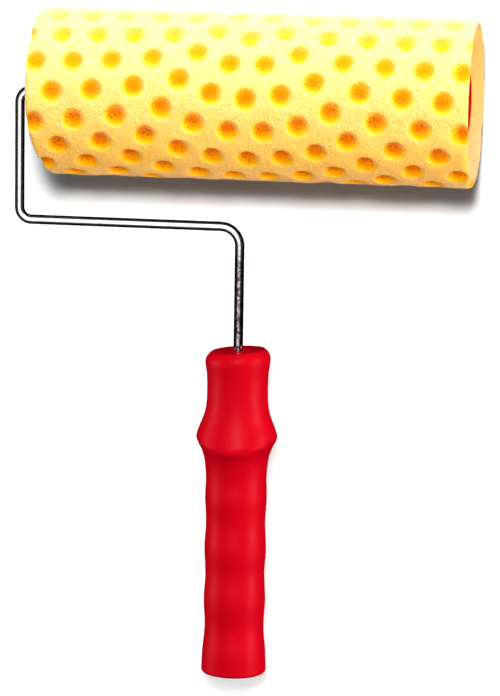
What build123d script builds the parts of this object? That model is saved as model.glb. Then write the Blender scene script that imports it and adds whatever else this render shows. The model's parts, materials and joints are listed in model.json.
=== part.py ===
"""Textured pattern roller: a dimpled foam sleeve on a bent wire frame with a moulded handle.

Units are millimetres. The tool lies on a flat surface, resting on its sleeve and on the end of its
handle. +Z is up, X is the sleeve's axis with the side arm towards -X, and the handle points to -Y.
The origin is the bottom centre of the whole tool's box.

Everything is first laid out in the plane of the wire: the sleeve's axis is the X axis and the shaft
runs down -Y. The whole tool is then tilted about the sleeve's axis until the handle touches down.
"""
from build123d import *
from math import asin, atan2, cos, degrees, exp, hypot, pi, sin, sqrt
import os

# Sleeve
SLEEVE_LENGTH = 180.0
SLEEVE_RADIUS = 34.5
SLEEVE_EDGE = 2.0
DISH_DEPTH = 3.2
DISH_SAG = 0.4
CORE_RADIUS = 12.5
CORE_WALL = 1.5

# Hubs, measured inwards from the bottom of the dish
HUB_FLANGE = 1.4
HUB_DEPTH = 19.0
HUB_WALL = 1.6
HUB_WEB = (6.5, 8.5)
HUB_BOSS = (6.2, 18.0)
HUB_BOSS_RADIUS = 5.5
HUB_RIBS = 6
HUB_RIB_THICKNESS = 1.2
HUB_RIB_DEPTH = 16.0
HUB_RIB_OVERLAP = 0.2

# Bushes, washers, stop and cap, on the same measure
BUSH_FLANGE = (5.0, 6.2)
BUSH_FLANGE_RADIUS = 5.0
BUSH_RADIUS = 3.6
BUSH_END = 18.4
RUNNING_CLEARANCE = 0.06
WASHER = (3.9, 4.7)
WASHER_RADIUS = 5.5
WASHER_BORE_CLEARANCE = 0.15
STAR_RADIUS = 5.3
STAR_PLATE = (3.4, 3.9)
STAR_HOLE_RADIUS = 3.3
STAR_PRONGS = 6
STAR_PRONG_WIDTH = 1.7
STAR_PRONG_THICKNESS = 0.5
STAR_PRONG_LEAN = 20.0
STAR_PRONG_LENGTH = 2.4
STAR_PRONG_ROOT = 0.4
CAP_FLANGE_RADIUS = 5.6
CAP_RADIUS = 4.4
CAP_WALL = 0.6
CAP_TOP = -0.1
CAP_SHOULDER = 1.4
CAP_DOME_DROP = 0.3
CAP_DOME_REACH = 0.72
CAP_GRIP = (2.7, 3.3)

# Wire
WIRE_RADIUS = 2.0
AXLE_END = 1.3
ARM_GAP = 10.8
CROSS_ARM_Y = 54.3
SHAFT_X = -6.9
ARM_BEND = 5.0
CROSS_BEND = 5.0
SHAFT_BEND = 8.0
WIRE_CHAMFER = 0.5
SPADE_LENGTH = 14.0
SPADE_WIDTH = 5.6
SPADE_THICKNESS = 2.6

# Handle, measured down from its top
HANDLE_TOP_Y = 106.1
HANDLE_LENGTH = 138.5
WIRE_INSERT = 56.0
GRIP_RADIUS = 12.75
TOP_ROLL_HEIGHT = 0.95
TOP_ROLL_AT = 3.7
TOP_ROLL_REACH = 5.0
TOP_EDGE = 4.0
TOP_DRAW = 2.0
TOP_SLOPE = 0.07
COLLAR_AT = 37.2
COLLAR_HEIGHT = 4.25
COLLAR_REACH_UP = 8.6
COLLAR_REACH_DOWN = 5.9
COLLAR_POWER_DOWN = 1.3
COLLAR_DIP = 4.0
COLLAR_DIP_REACH = 14.0
THUMB_HOLLOW = 0.5
THUMB_HOLLOW_AT = 19.0
THUMB_HOLLOW_REACH = 8.0
WAVE_START = 50.0
WAVE_FIRST = 62.0
WAVE_PITCH = 22.4
WAVE_SIDE = 0.25
WAVE_FRONT = 0.55
FLARE_START = 118.0
FLARE_HEIGHT = 1.3
END_EDGE = 1.4
SECTIONS = 61
SECTION_POINTS = 16
ENTRY_MOUTH = 4.4
ENTRY_DEPTH = 2.0
ENTRY_OVERRUN = 1.0
SOCKET_RADIUS = 9.6
SOCKET_DEPTH = 35.0
CAVITY_RADIUS = 8.6
CAVITY_TOP = 60.0

HALF_SLEEVE = SLEEVE_LENGTH / 2
HUB_FACE_X = HALF_SLEEVE - DISH_DEPTH
ARM_X = -(HALF_SLEEVE + ARM_GAP)
HANDLE_END_Y = HANDLE_TOP_Y + HANDLE_LENGTH
BORE_RADIUS = WIRE_RADIUS + RUNNING_CLEARANCE


def bell(offset, reach, power=2.0):
    """A smooth bump of height 1, centred where offset is 0."""
    return exp(-((abs(offset) / reach) ** power))


def top_rounding(depth):
    """How far the softened top edge draws in at this depth."""
    return TOP_DRAW * (max(TOP_EDGE - depth, 0.0) / TOP_EDGE) ** 2


def handle_radius(depth, front):
    """Outer radius of the handle; front is 0 at its sides and 1 at its front and back."""
    collar_offset = depth - COLLAR_AT
    collar_offset -= COLLAR_DIP * front * bell(collar_offset, COLLAR_DIP_REACH)
    if collar_offset < 0:
        collar = bell(collar_offset, COLLAR_REACH_UP)
    else:
        collar = bell(collar_offset, COLLAR_REACH_DOWN, COLLAR_POWER_DOWN)
    fade = min(max((depth - WAVE_START) / (WAVE_FIRST - WAVE_START), 0.0), 1.0)
    wave = (WAVE_SIDE + (WAVE_FRONT - WAVE_SIDE) * front) * fade
    flare = max(depth - FLARE_START, 0.0) / (HANDLE_LENGTH - FLARE_START)
    radius = GRIP_RADIUS
    radius += TOP_ROLL_HEIGHT * bell(depth - TOP_ROLL_AT, TOP_ROLL_REACH)
    radius += COLLAR_HEIGHT * collar
    radius -= THUMB_HOLLOW * front * bell(depth - THUMB_HOLLOW_AT, THUMB_HOLLOW_REACH)
    radius += wave * cos(2 * pi * (depth - WAVE_FIRST) / WAVE_PITCH)
    radius += FLARE_HEIGHT * flare**2
    radius -= top_rounding(depth)
    return radius


def rod(start, direction, radius, length):
    """A cylinder from a point along a direction."""
    return Solid.make_cylinder(radius, length, Plane(origin=start, z_dir=direction))


def turned(points):
    """A solid of revolution about the sleeve's axis, from an outline of (x, radius) points."""
    outline = Polyline(*points, close=True)
    return revolve(make_face(outline), Axis.X)


def at_end(depth_radius_points):
    """Outline points at the free end, from points of (depth below the dish, radius)."""
    return [(HUB_FACE_X - depth, radius) for depth, radius in depth_radius_points]


def on_arm_side(piece):
    """The same piece at the sleeve's other end."""
    return mirror(piece, Plane.YZ)


def spread_round(piece, count):
    """Copies of a piece in a ring about the sleeve's axis."""
    return [piece.rotate(Axis.X, index * 360 / count) for index in range(count)]


def foam_cover():
    """The sponge sleeve, with rounded rims and dished ends. Its dimples are left out."""
    rim = SLEEVE_RADIUS - SLEEVE_EDGE
    round_mid = SLEEVE_EDGE * sqrt(0.5)
    edge_x = HALF_SLEEVE - SLEEVE_EDGE
    dish_mid = ((HUB_FACE_X + HALF_SLEEVE) / 2 + DISH_SAG / 2, (CORE_RADIUS + rim) / 2)
    outer_edge = ThreePointArc(
        (edge_x, SLEEVE_RADIUS), (edge_x + round_mid, rim + round_mid), (HALF_SLEEVE, rim)
    )
    dish = ThreePointArc((HALF_SLEEVE, rim), dish_mid, (HUB_FACE_X, CORE_RADIUS))
    free_half = [
        Line((0, SLEEVE_RADIUS), (edge_x, SLEEVE_RADIUS)),
        outer_edge,
        dish,
        Line((HUB_FACE_X, CORE_RADIUS), (0, CORE_RADIUS)),
        Line((0, CORE_RADIUS), (0, SLEEVE_RADIUS)),
    ]
    half = revolve(make_face(free_half), Axis.X)
    return half + on_arm_side(half)


def core_tube():
    """The stiff tube inside the foam, between the two hub flanges."""
    end = HUB_FACE_X - HUB_FLANGE
    bore = CORE_RADIUS - CORE_WALL
    return turned([(-end, bore), (end, bore), (end, CORE_RADIUS), (-end, CORE_RADIUS)])


def hub():
    """The plug at the free end: flange, barrel, web, boss and ribs."""
    barrel = CORE_RADIUS - CORE_WALL
    inner = barrel - HUB_WALL
    web_top, web_bottom = HUB_WEB
    boss_top, boss_bottom = HUB_BOSS
    body = turned(
        at_end(
            [
                (0, CORE_RADIUS),
                (HUB_FLANGE, CORE_RADIUS),
                (HUB_FLANGE, barrel),
                (HUB_DEPTH, barrel),
                (HUB_DEPTH, inner),
                (web_bottom, inner),
                (web_bottom, HUB_BOSS_RADIUS),
                (boss_bottom, HUB_BOSS_RADIUS),
                (boss_bottom, BUSH_RADIUS),
                (boss_top, BUSH_RADIUS),
                (boss_top, HUB_BOSS_RADIUS),
                (web_top, HUB_BOSS_RADIUS),
                (web_top, inner),
                (0, barrel - HUB_WALL / 2),
            ]
        )
    )
    rib_length = HUB_RIB_DEPTH - web_bottom
    rib_height = inner - HUB_BOSS_RADIUS
    rib = Box(rib_length + HUB_RIB_OVERLAP, rib_height + 2 * HUB_RIB_OVERLAP, HUB_RIB_THICKNESS)
    rib = Pos(HUB_FACE_X - (web_bottom + HUB_RIB_DEPTH) / 2, HUB_BOSS_RADIUS + rib_height / 2, 0) * rib
    return body + spread_round(rib, HUB_RIBS)


def bush():
    """The flanged plain bearing in the free end's hub."""
    top, seat = BUSH_FLANGE
    return turned(
        at_end(
            [
                (top, BORE_RADIUS),
                (top, BUSH_FLANGE_RADIUS),
                (seat, BUSH_FLANGE_RADIUS),
                (seat, BUSH_RADIUS),
                (BUSH_END, BUSH_RADIUS),
                (BUSH_END, BORE_RADIUS),
            ]
        )
    )


def flat_ring(faces, bore, radius):
    """A flat ring at the free end between two depths."""
    top, bottom = faces
    return turned(at_end([(top, bore), (top, radius), (bottom, radius), (bottom, bore)]))


def washer():
    """The flat washer outside the free end's bush."""
    return flat_ring(WASHER, WIRE_RADIUS + WASHER_BORE_CLEARANCE, WASHER_RADIUS)


def star_ring(axle):
    """The push-on star ring: a plate with prongs that lean outwards and grip the axle."""
    plate = flat_ring(STAR_PLATE, STAR_HOLE_RADIUS, STAR_RADIUS)
    root = (HUB_FACE_X - sum(STAR_PLATE) / 2, STAR_HOLE_RADIUS + STAR_PRONG_ROOT, 0)
    root_on_top = (Align.CENTER, Align.MAX, Align.CENTER)
    prong = Box(STAR_PRONG_THICKNESS, STAR_PRONG_LENGTH, STAR_PRONG_WIDTH, align=root_on_top)
    prong = Location(root, (0, 0, STAR_PRONG_LEAN)) * prong
    return plate + spread_round(prong, STAR_PRONGS) - axle


def retaining_cap():
    """The domed cap pushed on the end of the axle, with a grip ring inside."""
    base = WASHER[0]
    grip_top, grip_bottom = CAP_GRIP
    flange_top = base - CAP_WALL
    inner = CAP_RADIUS - CAP_WALL
    dome_mid = (CAP_TOP + (CAP_SHOULDER - CAP_TOP) * CAP_DOME_DROP, CAP_RADIUS * CAP_DOME_REACH)
    outline = at_end(
        [
            (CAP_SHOULDER, CAP_RADIUS),
            (flange_top, CAP_RADIUS),
            (flange_top, CAP_FLANGE_RADIUS),
            (base, CAP_FLANGE_RADIUS),
            (base, inner),
            (grip_bottom, inner),
            (grip_bottom, WIRE_RADIUS),
            (grip_top, WIRE_RADIUS),
            (grip_top, inner),
            (CAP_SHOULDER, inner),
            (CAP_TOP + CAP_WALL, 0),
            (CAP_TOP, 0),
        ]
    )
    top, middle, shoulder = at_end([(CAP_TOP, 0), dome_mid, (CAP_SHOULDER, CAP_RADIUS)])
    dome = ThreePointArc(top, middle, shoulder)
    return revolve(make_face([*Polyline(*outline).edges(), dome]), Axis.X)


def wire_frame():
    """The bent wire: axle, side arm, cross arm and shaft, with a flattened end in the handle."""
    axle_start = (HUB_FACE_X - AXLE_END, 0)
    shaft_end = (SHAFT_X, -(HANDLE_TOP_Y + WIRE_INSERT))
    corners = [axle_start, (ARM_X, 0), (ARM_X, -CROSS_ARM_Y), (SHAFT_X, -CROSS_ARM_Y), shaft_end]
    route = FilletPolyline(*corners, radius=[ARM_BEND, CROSS_BEND, SHAFT_BEND])
    section = Plane(origin=(*axle_start, 0), z_dir=(-1, 0, 0)) * Circle(WIRE_RADIUS)
    wire = sweep(section, path=route)
    wire = chamfer(wire.faces().sort_by(Axis.X)[-1].edges(), WIRE_CHAMFER)
    spade = Box(SPADE_WIDTH, SPADE_LENGTH, SPADE_THICKNESS)
    spade = Pos(SHAFT_X, shaft_end[1] + SPADE_LENGTH / 2, 0) * spade
    return wire + spade


def handle_depths():
    """Where the handle's sections lie, evenly spaced from its top to its end."""
    return [HANDLE_LENGTH * step / (SECTIONS - 1) for step in range(SECTIONS)]


def handle_section(depth):
    """One closed section of the handle, square to the shaft. The top face slopes a little."""
    slope_fade = bell(depth, TOP_ROLL_AT + TOP_ROLL_REACH)
    points = []
    for step in range(SECTION_POINTS):
        angle = 2 * pi * step / SECTION_POINTS
        radius = handle_radius(depth, sin(angle) ** 2)
        side = radius * cos(angle)
        drop = depth - TOP_SLOPE * side * slope_fade
        points.append((SHAFT_X + side, -(HANDLE_TOP_Y + drop), radius * sin(angle)))
    return Wire([Spline(*points, periodic=True)])


def handle_grip(wire):
    """The moulded handle, with the wire cast in its top and a socket for a pole in its end."""
    skin = Solid.make_loft([handle_section(depth) for depth in handle_depths()])
    end_rim = skin.faces().sort_by(Axis.Y)[0].edges()
    skin = skin.fillet(END_EDGE, end_rim)
    end = (SHAFT_X, -HANDLE_END_Y, 0)
    socket = rod(end, (0, 1, 0), SOCKET_RADIUS, SOCKET_DEPTH)
    cavity = rod(end, (0, 1, 0), CAVITY_RADIUS, HANDLE_LENGTH - CAVITY_TOP)
    entry_top = Plane(origin=(SHAFT_X, -(HANDLE_TOP_Y - ENTRY_OVERRUN), 0), z_dir=(0, -1, 0))
    entry = Solid.make_cone(ENTRY_MOUTH, WIRE_RADIUS, ENTRY_DEPTH + ENTRY_OVERRUN, entry_top)
    return skin - socket - cavity - entry - wire


def tilt_at(depth):
    """The tilt, in degrees, at which the handle would touch the surface at this depth."""
    radius = handle_radius(depth, 1.0)
    reach = hypot(HANDLE_TOP_Y + depth, radius)
    return degrees(asin(SLEEVE_RADIUS / reach) - atan2(radius, HANDLE_TOP_Y + depth))


def lying_angle():
    """The tilt at which the handle first touches the surface that the sleeve lies on."""
    return min(tilt_at(depth) for depth in handle_depths() if depth <= HANDLE_LENGTH - END_EDGE)


def make_pieces():
    """Every piece by name, laid out in the plane of the wire."""
    wire = wire_frame()
    free_hub = hub()
    free_bush = bush()
    free_washer = washer()
    return {
        "wire_frame": wire,
        "handle_grip": handle_grip(wire),
        "arm_side_stop": on_arm_side(star_ring(wire)),
        "arm_side_washer": on_arm_side(free_washer),
        "free_side_washer": free_washer,
        "retaining_cap": retaining_cap(),
        "foam_cover": foam_cover(),
        "core_tube": core_tube(),
        "arm_side_hub": on_arm_side(free_hub),
        "free_side_hub": free_hub,
        "arm_side_bush": on_arm_side(free_bush),
        "free_side_bush": free_bush,
    }


def main():
    """Lay the tool on the surface, centre it, and write one file for each piece."""
    pieces = make_pieces()
    lie = Location((0, 0, SLEEVE_RADIUS), (lying_angle(), 0, 0))
    laid = {name: lie * piece for name, piece in pieces.items()}
    box = Compound([piece.solids()[0] for piece in laid.values()]).bounding_box()
    middle = box.center()
    centre = Location((-middle.X, -middle.Y, -box.min.Z))
    os.makedirs("parts", exist_ok=True)
    for name, piece in laid.items():
        export_step(centre * piece, f"parts/{name}.step")
    print("tilt", round(lying_angle(), 3), "degrees")
    print("sleeve axis at", [round(value, 3) for value in (centre.position + Vector(0, 0, SLEEVE_RADIUS))])


main()
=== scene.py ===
import json
import math

import bpy
import numpy as np
from mathutils import Matrix, Vector, noise


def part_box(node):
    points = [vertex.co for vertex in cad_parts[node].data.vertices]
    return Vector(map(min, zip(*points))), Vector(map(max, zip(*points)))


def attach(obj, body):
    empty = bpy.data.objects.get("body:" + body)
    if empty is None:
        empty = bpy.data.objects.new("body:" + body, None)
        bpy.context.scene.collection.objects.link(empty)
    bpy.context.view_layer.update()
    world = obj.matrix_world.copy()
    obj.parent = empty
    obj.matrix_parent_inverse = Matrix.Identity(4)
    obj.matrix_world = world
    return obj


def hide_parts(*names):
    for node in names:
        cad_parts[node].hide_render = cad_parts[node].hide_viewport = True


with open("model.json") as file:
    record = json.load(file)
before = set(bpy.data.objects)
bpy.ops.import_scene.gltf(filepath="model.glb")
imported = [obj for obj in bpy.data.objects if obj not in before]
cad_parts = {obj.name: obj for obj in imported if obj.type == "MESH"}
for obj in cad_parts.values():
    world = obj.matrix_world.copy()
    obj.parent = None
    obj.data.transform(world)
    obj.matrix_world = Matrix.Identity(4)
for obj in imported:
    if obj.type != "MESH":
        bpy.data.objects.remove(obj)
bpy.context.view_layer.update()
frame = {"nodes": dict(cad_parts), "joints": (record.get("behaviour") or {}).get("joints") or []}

MM = 0.001
FULL_TURN = 2 * math.pi

# Camera: its lens and sensor are in millimetres, and the rest is in metres
CAMERA_YAW = math.radians(9.33)
CAMERA_PITCH = math.radians(4.95)
CAMERA_ROLL = math.radians(1.72)
CAMERA_AIM = Vector((3.6 * MM, 0, 20 * MM))
CAMERA_DISTANCE = 1.3594
CAMERA_LENS = 167.7
CAMERA_SENSOR = 36
CAMERA_CLIP = (0.05, 20)

# Lights: directions are azimuth and elevation in degrees, azimuth 90 is towards +Y, and FAR, MIDDLE and NEAR
# are distances from the origin
WHITE = (1, 1, 1)
KEY_COLOUR = (1, 0.99, 0.97)
KEY_DIRECTION = (72, 71.5)
FAR = 1.6
MIDDLE = 1.4
NEAR = 1.2
LONG_PANEL = (0.9, 0.3)

# World: the light from the sides and from overhead, each at a height of the direction it comes from
WORLD_LOW = (0.45, (0.02, 0.02, 0.02))
WORLD_HIGH = (0.75, (0.10, 0.11, 0.125))

# Floor: its glow is in pairs of a distance from the origin and a strength
FLOOR_SIZE = 60
FLOOR_COLOUR = (0.95, 0.95, 0.95)
FLOOR_GLOW = [(0.4, 0.0), (1.0, 0.92)]
CARD_HEIGHT = 0.2 * MM
CARD_COLOUR = (0.02, 0.008, 0.006, 1)

# Sponge: its colour goes by the strength of the painted shade in the dimples. The first stop is the pale
# yellow skin; the later ones are painted shade, deeper orange down in the dimples.
SPONGE_SHADE_COLOURS = [
    (0.0, (0.77, 0.60, 0.16)),
    (0.1, (0.79, 0.58, 0.08)),
    (0.22, (0.84, 0.55, 0.02)),
    (0.34, (0.88, 0.50, 0.002)),
    (0.54, (0.84, 0.41, 0.001)),
    (0.78, (0.78, 0.28, 0.001)),
    (1.0, (0.72, 0.20, 0.001)),
]
# Painted highlights: the glints of the sponge's cells
PAINTED_GLINT_COLOUR = (0.95, 0.92, 0.75)
# Painted shade: the dark pores deep in the dimples
PORE_SHADE_COLOUR = (0.42, 0.03, 0.004)
SPONGE_SCATTER = (0.006, 0.0015, 0.0003)

# Wire: each pair of colours runs from its dull spots to its bright metal
PLATED_COLOURS = [(0.3, (0.62, 0.60, 0.58)), (0.5, (0.86, 0.85, 0.83))]
DARK_SHAFT_COLOURS = [(0.38, (0.08, 0.04, 0.05)), (0.64, (0.60, 0.54, 0.54))]

# Where the wire's shaft turns from bright to darker, above the top of the handle
GRIP_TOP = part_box("handle_grip")[1].y
BRIGHT_FROM = 46 * MM
DARK_BELOW = 34 * MM

# Plastics and stamped steel
GRIP_RED = (0.41, 0.0002, 0.0065)
HUB_RED = (0.62, 0.002, 0.012)
BUSH_CREAM = (0.80, 0.78, 0.70)
CORE_GREY = (0.74, 0.73, 0.70)
SPRING_STEEL_COLOURS = [(0.3, (0.42, 0.42, 0.43)), (0.7, (0.66, 0.66, 0.67))]

# Where the sleeve is, from the frame
FOAM_LOW, FOAM_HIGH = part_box("foam_cover")
AXIS = Vector(frame["joints"][0]["pos_m"])
SLEEVE_RADIUS = (FOAM_HIGH.z - FOAM_LOW.z) / 2
SLEEVE_HALF = (FOAM_HIGH.x - FOAM_LOW.x) / 2
SLEEVE_GIRTH = FULL_TURN * SLEEVE_RADIUS
HUB_LOW, HUB_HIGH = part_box("free_side_hub")
CORE_RADIUS = (HUB_HIGH.z - HUB_LOW.z) / 2
DISH_DEPTH = FOAM_HIGH.x - HUB_HIGH.x

# The sleeve's ends. The arm end isn't square, and its edge towards -Y is tucked in.
RIM_ROUND = 2.0 * MM
DISH_SAG = 0.1 * MM
ARM_END_SKEW = 1.8 * MM
ARM_END_SKEW_ANGLE = math.radians(-35)
ARM_END_SHIFT = -0.5 * MM
ARM_END_TUCK = 3.0 * MM
ARM_END_TUCK_POWER = 4
ARM_END_REACH = 20 * MM

# One dimple, whose profile is followed out to DIMPLE_REACH times its radius
DIMPLE_RADIUS = 4.6 * MM
DIMPLE_DEPTH = 4.0 * MM
DIMPLE_SOFTNESS = 0.5 * MM
DIMPLE_REACH = 1.5
# The dimples' painted shade reaches out to this radius, a little past each rim
DIMPLE_SHADE_RADIUS = 4.9 * MM

# The dimples' layout: rings round one centre, half way along the sleeve and a quarter turn from its top
RING_CENTRE_ARC = -SLEEVE_GIRTH / 4
RING_STEP = 3 * DIMPLE_RADIUS
HOLES_IN_FIRST_RING = 6
DIMPLE_GAP = 2.5 * DIMPLE_RADIUS

# The band along the sleeve where the dimples' painted shade is weaker: a painted highlight, where the lights
# on the far side wash the dimples out. Its angle is from the top towards -Y.
PAINTED_LIGHT_BAND_ANGLE = math.radians(-80)
PAINTED_LIGHT_BAND_REACH = math.radians(75)
PAINTED_LIGHT_BAND_FADE = 0.86

# The sponge's uneven surface, which fades out towards the bore
LUMP_SIZE = 9 * MM
LUMP_HEIGHT = 0.30 * MM
GRAIN_SIZE = 1.7 * MM
GRAIN_HEIGHT = 0.16 * MM
BORE_MARGIN = 1.02
BORE_FADE = 4 * MM

# The sleeve's mesh
CELL = 0.67 * MM
BORE_STEPS = 8
DISH_STEPS = 10
RIM_STEPS = 5


# ---------------------------------------------------------------- camera, lights, floor

def make_camera():
    """A long lens above the tool, a little to its right and beyond it."""
    back = Vector((math.tan(CAMERA_YAW), math.tan(CAMERA_PITCH), 1)).normalized()
    right = (-back).cross(Vector((0, 1, 0))).normalized()
    up = right.cross(-back)
    turned_right = right * math.cos(CAMERA_ROLL) + up * math.sin(CAMERA_ROLL)
    turned_up = up * math.cos(CAMERA_ROLL) - right * math.sin(CAMERA_ROLL)
    data = bpy.data.cameras.new("camera")
    data.lens = CAMERA_LENS
    data.sensor_width = CAMERA_SENSOR
    data.clip_start, data.clip_end = CAMERA_CLIP
    camera = bpy.data.objects.new("camera", data)
    bpy.context.scene.collection.objects.link(camera)
    turn = Matrix((turned_right, turned_up, back)).transposed()
    camera.matrix_world = Matrix.Translation(CAMERA_AIM + back * CAMERA_DISTANCE) @ turn.to_4x4()
    bpy.context.scene.camera = camera


def collection_of(name, pieces):
    """A collection for light linking. It isn't part of the scene's own tree."""
    collection = bpy.data.collections.new(name)
    for piece in pieces:
        collection.objects.link(piece)
    return collection


def area_light(name, direction, distance, size, power, colour, lit, casting=()):
    """A soft rectangular light that looks at the origin.

    Size is the width across and the height. The light falls on the lit pieces alone, as a flagged studio
    light does. Where casting names pieces, only those cast its shadows.
    """
    data = bpy.data.lights.new(name, "AREA")
    data.shape = "RECTANGLE"
    data.size, data.size_y = size
    data.energy = power
    data.color = colour
    light = bpy.data.objects.new(name, data)
    bpy.context.scene.collection.objects.link(light)
    azimuth, elevation = (math.radians(angle) for angle in direction)
    level = math.cos(elevation)
    away = Vector((math.cos(azimuth) * level, math.sin(azimuth) * level, math.sin(elevation)))
    light.location = away * distance
    light.rotation_mode = "QUATERNION"
    light.rotation_quaternion = away.to_track_quat("Z", "Y")
    light.light_linking.receiver_collection = collection_of(name + "_receivers", lit)
    if casting:
        light.light_linking.blocker_collection = collection_of(name + "_blockers", casting)


def make_lights(foam, floor):
    """A high key from beyond the tool, and flagged lights that shape one or two pieces each.

    The wire casts no shadow in the keys' light: the sleeve does, and the handle in the softer one's.
    """
    nodes = frame["nodes"]
    grip, hub, wire = nodes["handle_grip"], nodes["free_side_hub"], nodes["wire_frame"]
    all_but_foam = [floor] + [piece for name, piece in nodes.items() if name != "foam_cover"]
    area_light("key", KEY_DIRECTION, FAR, (0.2, 0.25), 20, KEY_COLOUR, all_but_foam, [foam])
    area_light("soft_key", KEY_DIRECTION, FAR, (0.4, 0.4), 13, KEY_COLOUR, all_but_foam, [foam, grip])
    area_light("foam_key", (90, 78), FAR, (0.5, 0.5), 13.8, (0.94, 1, 0.9), [foam])
    area_light("foam_middle", (90, 46), MIDDLE, (0.5, 0.4), 14, (0.97, 0.86, 0.97), [foam])
    area_light("foam_far_side", (92, 14), NEAR, (0.5, 0.8), 27, (0.75, 0.55, 1), [foam])
    area_light("foam_far_edge", (90, 4), NEAR, (0.5, 0.1), 8, (0.95, 0.85, 1), [foam])
    area_light("foam_near_side", (270, 40), NEAR, (0.5, 0.4), 10.5, (1, 0.48, 0.06), [foam])
    area_light("foam_end", (0, 14), NEAR, (0.5, 0.3), 22, (1, 0.66, 0.44), [foam, hub])
    area_light("grip_right", (0, 14), NEAR, LONG_PANEL, 20, WHITE, [grip])
    area_light("grip_left", (180, 14), NEAR, LONG_PANEL, 12, WHITE, [grip])
    area_light("grip_far_side", (90, 25), NEAR, LONG_PANEL, 3, WHITE, [grip])
    area_light("floor_tone", (270, 50), FAR, (1, 1), 1.3, (0.6, 0.95, 1), [floor])
    area_light("wire_sky", (90, 88), NEAR, (1.3, 2.0), 11, WHITE, [wire])


def make_world():
    """A dim studio that is a little brighter overhead."""
    world = bpy.data.worlds.new("studio")
    bpy.context.scene.world = world
    world.use_nodes = True
    tree = world.node_tree
    direction = tree.nodes.new("ShaderNodeTexCoord")
    height = tree.nodes.new("ShaderNodeSeparateXYZ")
    ramp = tree.nodes.new("ShaderNodeValToRGB")
    for element, (position, colour) in zip(ramp.color_ramp.elements, (WORLD_LOW, WORLD_HIGH)):
        element.position = position
        element.color = (*colour, 1)
    tree.links.new(direction.outputs["Generated"], height.inputs["Vector"])
    tree.links.new(height.outputs["Z"], ramp.inputs["Fac"])
    tree.links.new(ramp.outputs["Color"], tree.nodes["Background"].inputs["Color"])


def plain_sheet(name, height, material):
    """A level square that isn't part of the tool."""
    bpy.ops.mesh.primitive_plane_add(size=FLOOR_SIZE, location=(0, 0, height))
    sheet = bpy.context.object
    sheet.name = name
    sheet.data.materials.append(material)
    return sheet


def floor_material():
    """Matt white that glows far from the tool, where the lights don't reach."""
    make = Nodes("floor")
    distance = make.add("ShaderNodeVectorMath", operation="LENGTH")
    make.link(make.place(), distance.inputs[0])
    glow = make.grey_ramp(distance.outputs["Value"], FLOOR_GLOW)
    return make.set(Base_Color=FLOOR_COLOUR, Roughness=0.9, Emission_Color=glow, Emission_Strength=1.0)


def make_floor():
    """A plain pale floor that throws no light back, and a dark card on it that only reflections see."""
    floor = plain_sheet("floor", 0, floor_material())
    floor.visible_diffuse = False
    dark = bpy.data.materials.new("dark_card")
    dark.use_nodes = True
    shader = dark.node_tree.nodes["Principled BSDF"]
    shader.inputs["Base Color"].default_value = CARD_COLOUR
    shader.inputs["Specular IOR Level"].default_value = 0
    card = plain_sheet("dark_card", CARD_HEIGHT, dark)
    card.visible_camera = False
    card.visible_diffuse = False
    card.visible_shadow = False
    card.visible_transmission = False
    return floor


# ---------------------------------------------------------------- materials

class Nodes:
    """Short calls for making and joining a material's nodes."""

    def __init__(self, name):
        self.material = bpy.data.materials.new(name)
        self.material.use_nodes = True
        self.tree = self.material.node_tree
        self.shader = self.tree.nodes["Principled BSDF"]

    def add(self, kind, **settings):
        """A node with some of its properties and unlinked inputs set."""
        node = self.tree.nodes.new(kind)
        for key, value in settings.items():
            if hasattr(node, key):
                setattr(node, key, value)
            else:
                node.inputs[key.replace("_", " ")].default_value = value
        return node

    def link(self, output, target):
        self.tree.links.new(output, target)

    def place(self):
        """Coordinates that stay with the piece."""
        return self.add("ShaderNodeTexCoord").outputs["Object"]

    def noise(self, scale, detail):
        """Soft noise. Scale is in patches to the metre."""
        node = self.add("ShaderNodeTexNoise", Scale=scale, Detail=detail)
        self.link(self.place(), node.inputs["Vector"])
        return node.outputs["Fac"]

    def cells(self, scale):
        """The distance from the middle of each of many small cells."""
        node = self.add("ShaderNodeTexVoronoi", Scale=scale)
        self.link(self.place(), node.inputs["Vector"])
        return node.outputs["Distance"]

    def ramp(self, value, stops):
        """A colour ramp from (position, colour) pairs."""
        node = self.add("ShaderNodeValToRGB")
        elements = node.color_ramp.elements
        while len(elements) < len(stops):
            elements.new(0.5)
        for element, (position, colour) in zip(elements, stops):
            element.position = position
            element.color = (*colour, 1)
        self.link(value, node.inputs["Fac"])
        return node.outputs["Color"]

    def grey_ramp(self, value, stops):
        return self.ramp(value, [(position, (grey, grey, grey)) for position, grey in stops])

    def mix(self, share, first, second, blend="MIX"):
        """Mixes two colours, each a socket or a colour, by a socket or a number."""
        node = self.add("ShaderNodeMix", data_type="RGBA", blend_type=blend)
        for socket, value in ((node.inputs[0], share), (node.inputs[6], first), (node.inputs[7], second)):
            if isinstance(value, bpy.types.NodeSocket):
                self.link(value, socket)
            else:
                socket.default_value = (*value, 1) if isinstance(value, tuple) else value
        return node.outputs[2]

    def bump(self, height, distance, strength, under=None):
        """A bumped normal. Distance is in metres."""
        node = self.add("ShaderNodeBump", Strength=strength, Distance=distance)
        self.link(height, node.inputs["Height"])
        if under is not None:
            self.link(under, node.inputs["Normal"])
        return node.outputs["Normal"]

    def set(self, **values):
        """Sets or links the shader's sockets. An underscore in a name stands for a space."""
        for key, value in values.items():
            socket = self.shader.inputs[key.replace("_", " ")]
            if isinstance(value, bpy.types.NodeSocket):
                self.link(value, socket)
            else:
                socket.default_value = (*value, 1) if isinstance(value, tuple) else value
        return self.material


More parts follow.
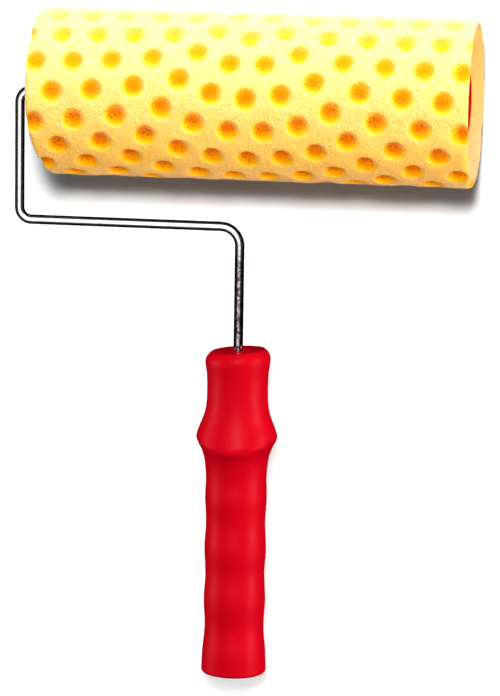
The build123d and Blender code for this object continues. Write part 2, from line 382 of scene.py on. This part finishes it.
def sponge_colour(make, painted_shade):
    """Pale yellow skin with painted glints, which are painted highlights, and deep orange painted shade in
    the dimples, with dark pores of painted shade in their deepest parts.
    """
    colour = make.ramp(painted_shade, SPONGE_SHADE_COLOURS)
    mottle = make.grey_ramp(make.noise(scale=900, detail=3.0), [(0.3, 0.88), (0.7, 1.0)])
    colour = make.mix(1.0, colour, mottle, "MULTIPLY")
    skin = make.grey_ramp(painted_shade, [(0.0, 1.0), (0.2, 0.0)])
    # Painted glints, small painted highlights on the skin and not in the dimples
    painted_glint = make.grey_ramp(make.noise(scale=1500, detail=1.0), [(0.66, 0.0), (0.72, 0.9)])
    painted_glint = make.mix(1.0, painted_glint, skin, "MULTIPLY")
    colour = make.mix(painted_glint, colour, PAINTED_GLINT_COLOUR)
    # Dark pores of painted shade, only where the dimples' painted shade is deep
    pore_shade = make.grey_ramp(make.noise(scale=1100, detail=1.0), [(0.63, 0.0), (0.68, 0.8)])
    deep_shade = make.grey_ramp(painted_shade, [(0.3, 0.0), (0.6, 1.0)])
    pore_shade = make.mix(1.0, pore_shade, deep_shade, "MULTIPLY")
    return make.mix(pore_shade, colour, PORE_SHADE_COLOUR)


def foam_material():
    """Open-cell sponge with a fine grain and a soft, slightly glowing surface."""
    make = Nodes("foam")
    # The dimples' painted shade, kept on the mesh
    painted_shade = make.add("ShaderNodeAttribute", attribute_name="dimple_painted_shade").outputs["Fac"]
    normal = make.bump(make.cells(scale=1300), distance=0.0005, strength=0.6)
    normal = make.bump(make.noise(scale=600, detail=4.0), distance=0.0008, strength=0.5, under=normal)
    make.set(Base_Color=sponge_colour(make, painted_shade), Roughness=0.85, Normal=normal)
    make.shader.inputs["Subsurface Weight"].default_value = 0.35
    make.shader.inputs["Subsurface Radius"].default_value = SPONGE_SCATTER
    make.shader.inputs["Subsurface Scale"].default_value = 1.0
    make.shader.inputs["Specular IOR Level"].default_value = 0.05
    make.shader.inputs["Sheen Weight"].default_value = 0.6
    make.shader.inputs["Sheen Roughness"].default_value = 0.3
    return make.material


def wire_material():
    """Bright plated steel wire with faint dull spots. Its shaft is darker towards the handle."""
    make = Nodes("plated_wire")
    dull = make.noise(scale=500, detail=4.0)
    plated = make.ramp(dull, PLATED_COLOURS)
    dark_shaft = make.ramp(make.noise(scale=650, detail=3.0), DARK_SHAFT_COLOURS)
    axes = make.add("ShaderNodeSeparateXYZ")
    make.link(make.place(), axes.inputs["Vector"])
    bright_end = GRIP_TOP + BRIGHT_FROM
    dark_end = GRIP_TOP + DARK_BELOW
    shaft = make.add("ShaderNodeMapRange", From_Min=bright_end, From_Max=dark_end)
    make.link(axes.outputs["Y"], shaft.inputs["Value"])
    colour = make.mix(shaft.outputs["Result"], plated, dark_shaft)
    roughness = make.grey_ramp(dull, [(0.3, 0.22), (0.7, 0.10)])
    normal = make.bump(make.noise(scale=2500, detail=2.0), distance=0.0001, strength=0.15)
    return make.set(Base_Color=colour, Metallic=1.0, Roughness=roughness, Normal=normal)


def red_plastic(name, base, roughness):
    """Moulded polypropylene: saturated colour with slight clouding and a soft skin."""
    make = Nodes(name)
    dark = tuple(channel * 0.86 for channel in base)
    colour = make.mix(make.noise(scale=60, detail=3.0), base, dark)
    patches = make.noise(scale=300, detail=3.0)
    gloss = make.grey_ramp(patches, [(0.3, roughness - 0.05), (0.7, roughness + 0.06)])
    normal = make.bump(make.noise(scale=500, detail=3.0), distance=0.0002, strength=0.2)
    make.shader.inputs["Specular IOR Level"].default_value = 0.03
    return make.set(Base_Color=colour, Roughness=gloss, Normal=normal)


def pale_plastic(name, base):
    """Plain moulded plastic for the inner pieces."""
    make = Nodes(name)
    dark = tuple(channel * 0.9 for channel in base)
    colour = make.mix(make.noise(scale=120, detail=3.0), base, dark)
    normal = make.bump(make.noise(scale=900, detail=2.0), distance=0.0002, strength=0.2)
    return make.set(Base_Color=colour, Roughness=0.5, Normal=normal)


def spring_steel_material():
    """Stamped spring steel with a fine grain."""
    make = Nodes("spring_steel")
    grain = make.noise(scale=1200, detail=4.0)
    colour = make.ramp(grain, SPRING_STEEL_COLOURS)
    roughness = make.grey_ramp(grain, [(0.3, 0.42), (0.7, 0.3)])
    normal = make.bump(grain, distance=0.0001, strength=0.2)
    return make.set(Base_Color=colour, Metallic=1.0, Roughness=roughness, Normal=normal)


# ---------------------------------------------------------------- foam sleeve

def wrapped(value, turn):
    """A length or an angle round the sleeve, brought within half a turn of 0."""
    return (value + turn / 2) % turn - turn / 2


def dimple_centres():
    """Dimple centres on the unrolled sleeve, as (x, arc): rings of holes round one centre.

    Each ring has six more holes than the last, and every other ring is turned by half a space. Arc runs
    from the top of the sleeve towards -Y. A hole too near an earlier one is left out, which happens only
    along the line where the sheet's two edges meet.
    """
    centres = [(0.0, RING_CENTRE_ARC)]
    rings = math.ceil(math.hypot(SLEEVE_HALF + DIMPLE_RADIUS, SLEEVE_GIRTH / 2) / RING_STEP)
    for ring in range(1, rings + 1):
        holes = HOLES_IN_FIRST_RING * ring
        reach = ring * RING_STEP
        for hole in range(holes):
            angle = FULL_TURN * (hole + ring % 2 / 2) / holes
            x = reach * math.sin(angle)
            offset = reach * math.cos(angle)
            past_an_end = abs(x) > SLEEVE_HALF + DIMPLE_RADIUS
            if past_an_end or abs(offset) > SLEEVE_GIRTH / 2:
                continue
            arc = RING_CENTRE_ARC + offset
            near = [
                math.hypot(x - other_x, wrapped(arc - other_arc, SLEEVE_GIRTH))
                for other_x, other_arc in centres
            ]
            if min(near) >= DIMPLE_GAP:
                centres.append((x, arc))
    return centres


def sleeve_outline():
    """The sleeve's closed section as rows of x and radius: skin, free end, bore and arm end."""
    straight = SLEEVE_HALF - RIM_ROUND
    rim_foot = SLEEVE_RADIUS - RIM_ROUND
    skin_x = np.linspace(-straight, straight, round(2 * straight / CELL) + 1)
    skin = np.stack([skin_x, np.full(len(skin_x), SLEEVE_RADIUS)], 1)
    angles = np.linspace(0, math.pi / 2, RIM_STEPS + 1)[1:]
    rim = np.stack([straight + RIM_ROUND * np.sin(angles), rim_foot + RIM_ROUND * np.cos(angles)], 1)
    share = np.linspace(0, 1, DISH_STEPS + 1)[1:]
    dish_x = SLEEVE_HALF - DISH_DEPTH * share + DISH_SAG * np.sin(math.pi * share)
    dish = np.stack([dish_x, rim_foot + (CORE_RADIUS - rim_foot) * share], 1)
    bore_x = np.linspace(dish_x[-1], -dish_x[-1], BORE_STEPS + 2)[1:-1]
    bore = np.stack([bore_x, np.full(BORE_STEPS, CORE_RADIUS)], 1)
    free_end = np.concatenate([rim, dish])
    arm_end = free_end[::-1] * np.array([-1, 1])
    return np.concatenate([skin, free_end, bore, arm_end])


def dimple_depths(x, arc):
    """How deep the dimples reach at each point of the unrolled sleeve, and how strong their painted shade
    is.
    """
    depth = np.zeros(x.shape)
    painted_shade = np.zeros(x.shape)
    for centre_x, centre_arc in dimple_centres():
        away = np.hypot(x - centre_x, wrapped(arc - centre_arc, SLEEVE_GIRTH))
        painted_shade = np.maximum(painted_shade, 1 - (away / DIMPLE_SHADE_RADIUS) ** 2)
        raised = DIMPLE_DEPTH * (1 - np.minimum(away / DIMPLE_RADIUS, DIMPLE_REACH) ** 2)
        soft = (raised + np.sqrt(raised**2 + DIMPLE_SOFTNESS**2)) / 2
        depth = np.maximum(depth, soft)
    return depth, painted_shade


def painted_shade_strength(phi):
    """How strong the dimples' painted shade is round the sleeve: it is painted weaker in a band along the
    far side, a painted highlight where the lights wash the dimples out.
    """
    away = wrapped(phi - PAINTED_LIGHT_BAND_ANGLE, FULL_TURN)
    return 1 - PAINTED_LIGHT_BAND_FADE * np.exp(-(away / PAINTED_LIGHT_BAND_REACH) ** 2)


def sponge_noise(x, phi, radius):
    """Uneven swelling of the sponge, and the grain of its torn cells, at each point of its surface."""
    flat = np.stack([x, -radius * np.sin(phi), radius * np.cos(phi)], -1).reshape(-1, 3)
    lumps = [noise.noise(Vector(point) / LUMP_SIZE) * LUMP_HEIGHT for point in flat]
    grain = [noise.noise(Vector(point) / GRAIN_SIZE) * GRAIN_HEIGHT for point in flat]
    return (np.array(lumps) + np.array(grain)).reshape(x.shape)


def arm_end_shape(x, phi):
    """The same x, moved near the arm end, which isn't square."""
    near_arm = np.clip((ARM_END_REACH - SLEEVE_HALF - x) / ARM_END_REACH, 0, 1)
    skew = ARM_END_SKEW * np.cos(phi - ARM_END_SKEW_ANGLE)
    tuck = ARM_END_TUCK * np.clip(np.sin(phi), 0, 1) ** ARM_END_TUCK_POWER
    return x - near_arm * (ARM_END_SHIFT + skew - tuck)


def sponge_surface(outline, phi):
    """The sleeve's points, row by row round its outline, and the strength of the dimples' painted shade at
    each.
    """
    x, phi = np.meshgrid(outline[:, 0], phi, indexing="ij")
    radius = np.repeat(outline[:, 1:2], x.shape[1], axis=1)
    x = arm_end_shape(x, phi)
    depth, painted_shade = dimple_depths(x, phi * SLEEVE_RADIUS)
    on_skin = SLEEVE_RADIUS - depth < radius + DIMPLE_SOFTNESS
    # Painted highlight: less painted shade in the band that faces the lights
    painted_shade = painted_shade * painted_shade_strength(phi) * on_skin
    fade = np.clip((radius - CORE_RADIUS) / BORE_FADE, 0, 1)
    rough = sponge_noise(x, phi, radius) * fade
    outside = radius > CORE_RADIUS * BORE_MARGIN
    radius = np.where(outside, np.minimum(radius, SLEEVE_RADIUS - depth) + rough, radius)
    places = [AXIS.x + x, AXIS.y - radius * np.sin(phi), AXIS.z + radius * np.cos(phi)]
    return np.stack(places, -1).reshape(-1, 3), painted_shade.ravel()


def ring_faces(rows, around):
    """Squares that join closed rows of points into one closed surface."""
    row, column = np.meshgrid(np.arange(rows), np.arange(around), indexing="ij")
    next_row = (row + 1) % rows
    next_column = (column + 1) % around
    corners = [
        row * around + column,
        next_row * around + column,
        next_row * around + next_column,
        row * around + next_column,
    ]
    return np.stack([corner.ravel() for corner in corners], 1)


def make_foam():
    """The foam sleeve as one closed mesh, with its dimples, rims and dished ends."""
    outline = sleeve_outline()
    around = round(SLEEVE_GIRTH / CELL)
    points, painted_shade = sponge_surface(outline, np.arange(around) * FULL_TURN / around)
    mesh = bpy.data.meshes.new("foam_sleeve")
    mesh.from_pydata(points.tolist(), [], ring_faces(len(outline), around).tolist())
    # The strength of the dimples' painted shade at each point, for the foam's material
    strengths = mesh.attributes.new("dimple_painted_shade", "FLOAT", "POINT")
    strengths.data.foreach_set("value", painted_shade.astype(np.float32))
    mesh.shade_smooth()
    mesh.update()
    foam = bpy.data.objects.new("foam_sleeve", mesh)
    bpy.context.scene.collection.objects.link(foam)
    mesh.materials.append(foam_material())
    foam.visible_glossy = False  # so that the plated wire reflects only the studio
    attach(foam, "roller")
    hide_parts("foam_cover")
    return foam


# ---------------------------------------------------------------- CAD pieces

def finish_cad_pieces():
    """Gives each CAD piece that shows its material."""
    hub_red = red_plastic("hub_plastic", HUB_RED, roughness=0.45)
    bush_plastic = pale_plastic("bush_plastic", BUSH_CREAM)
    spring_steel = spring_steel_material()
    finishes = {
        "wire_frame": wire_material(),
        "handle_grip": red_plastic("grip_plastic", GRIP_RED, roughness=0.42),
        "arm_side_hub": hub_red,
        "free_side_hub": hub_red,
        "arm_side_bush": bush_plastic,
        "free_side_bush": bush_plastic,
        "core_tube": pale_plastic("core_plastic", CORE_GREY),
        "arm_side_stop": spring_steel,
        "arm_side_washer": spring_steel,
        "free_side_washer": spring_steel,
        "retaining_cap": spring_steel,
    }
    for node, material in finishes.items():
        slots = frame["nodes"][node].data.materials
        slots.clear()
        slots.append(material)


bpy.context.scene.view_settings.view_transform = "Standard"
make_camera()
make_world()
floor = make_floor()
foam = make_foam()
make_lights(foam, floor)
finish_cad_pieces()
